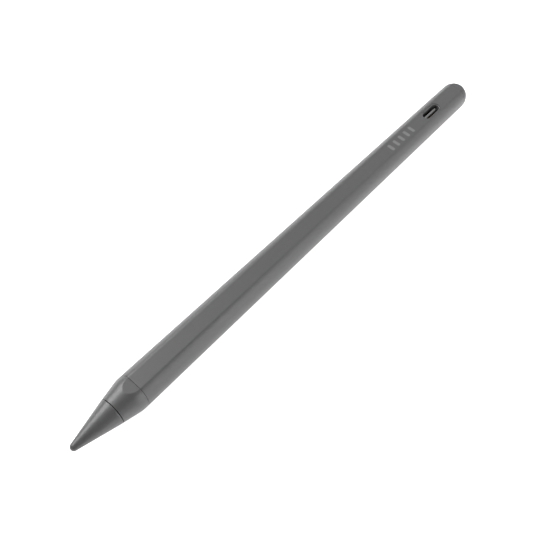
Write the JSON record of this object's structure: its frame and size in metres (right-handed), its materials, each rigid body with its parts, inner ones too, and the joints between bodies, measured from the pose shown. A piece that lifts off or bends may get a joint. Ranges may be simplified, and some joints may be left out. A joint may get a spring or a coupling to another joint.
{
  "type": "tablet stylus",
  "caption": "Active tablet stylus with a screw-on tapered nib, a conical nose, a round barrel with a long flat, a USB-C port let into the flat and a domed end.",
  "frame": {"origin": "the middle of the pen's length, on the surface that it lies on, with the flat facing up", "axes": "+X from the nib's tip towards the domed end, +Z out of the flat"},
  "size_m": [0.166, 0.0088, 0.0086],
  "materials": {
    "nib_plastic": "satin graphite moulding",
    "nose_plastic": "satin graphite moulding",
    "barrel_metal": "satin graphite anodised, fine bead-blasted",
    "cap_plastic": "satin graphite moulding",
    "port_steel": "drawn steel",
    "port_plastic": "black moulding",
    "contact_gold": "gold-plated",
    "circuit_board": "green solder mask",
    "spring_steel": "bright spring steel",
    "screw_steel": "plated",
    "shaft_steel": "turned",
    "chassis_plastic": "black moulding",
    "capacitor_ceramic": "matt",
    "cell_can": "satin",
    "foam": "open-cell foam",
    "lead_insulation": "silicone insulation",
    "ribbon_film": "amber polyimide film",
    "magnet_nickel": "nickel-plated",
    "bush_brass": "turned brass",
    "silicone": "translucent silicone",
    "sensor_body": "sealed sensor",
    "connector_plastic": "natural moulding",
    "chip_resin": "black resin",
    "inductor_core": "ferrite",
    "crystal_can": "metal lid",
    "seal_rubber": "black nitrile"
  },
  "bodies": {
    "pen": {"barrel": "barrel_metal", "nose_cone": "nose_plastic", "end_cap": "cap_plastic", "usb_shell": "port_steel", "usb_tongue": "port_plastic", "usb_contacts": "contact_gold", "usb_board": "circuit_board", "rear_cradle": "spring_steel", "chassis": "chassis_plastic", "main_board": "circuit_board", "board_screws": "screw_steel", "board_capacitors": "capacitor_ceramic", "battery_cell": "cell_can", "battery_pads": "foam", "battery_board": "circuit_board", "battery_leads": "lead_insulation", "link_ribbon": "ribbon_film", "front_magnet_holder": "chassis_plastic", "front_magnets": "magnet_nickel", "rear_magnet_holder": "chassis_plastic", "rear_magnets": "magnet_nickel", "antenna": "contact_gold", "spring_seat": "chassis_plastic", "touch_spring": "spring_steel", "touch_plate": "contact_gold", "guide_bush": "bush_brass", "tilt_ring": "shaft_steel", "return_spring": "spring_steel", "thrust_pad": "silicone", "force_sensor": "sensor_body", "sensor_carrier": "chassis_plastic", "sensor_backplate": "chassis_plastic", "sensor_ribbon": "ribbon_film", "ribbon_connector": "connector_plastic", "controller_chip": "chip_resin", "crystal": "crystal_can", "drive_chip": "chip_resin", "charger_chip": "chip_resin", "boost_inductor": "inductor_core", "motion_sensor": "chip_resin"},
    "shaft": {"force_shaft": "shaft_steel", "shaft_clip": "spring_steel"},
    "seal": {"nib_seal": "seal_rubber"},
    "nib": {"nib": "nib_plastic", "nib_insert": "bush_brass", "nib_electrode": "shaft_steel"}
  },
  "joints": [
    {"name": "nib_press", "type": "slide", "parent": "pen", "child": "shaft", "axis": [1, 0, 0], "range_m": [0, 0.00012], "stiffness_N_per_m": 1200, "springref_m": -0.0005, "deforming": ["return_spring", "thrust_pad"]},
    {"name": "nib_lift", "type": "slide", "parent": "shaft", "child": "seal", "axis": [-1, 0, 0], "range_m": [0, 0.0032]},
    {"name": "nib_unscrew", "type": "hinge", "parent": "seal", "child": "nib", "pos_m": [-0.078, 0, 0.00445], "axis": [-1, 0, 0], "range_deg": [0, 2880]}
  ],
  "couplings": [
    {"joint": "nib_unscrew", "follows": "nib_lift", "rad_per_m": 15708}
  ]
}
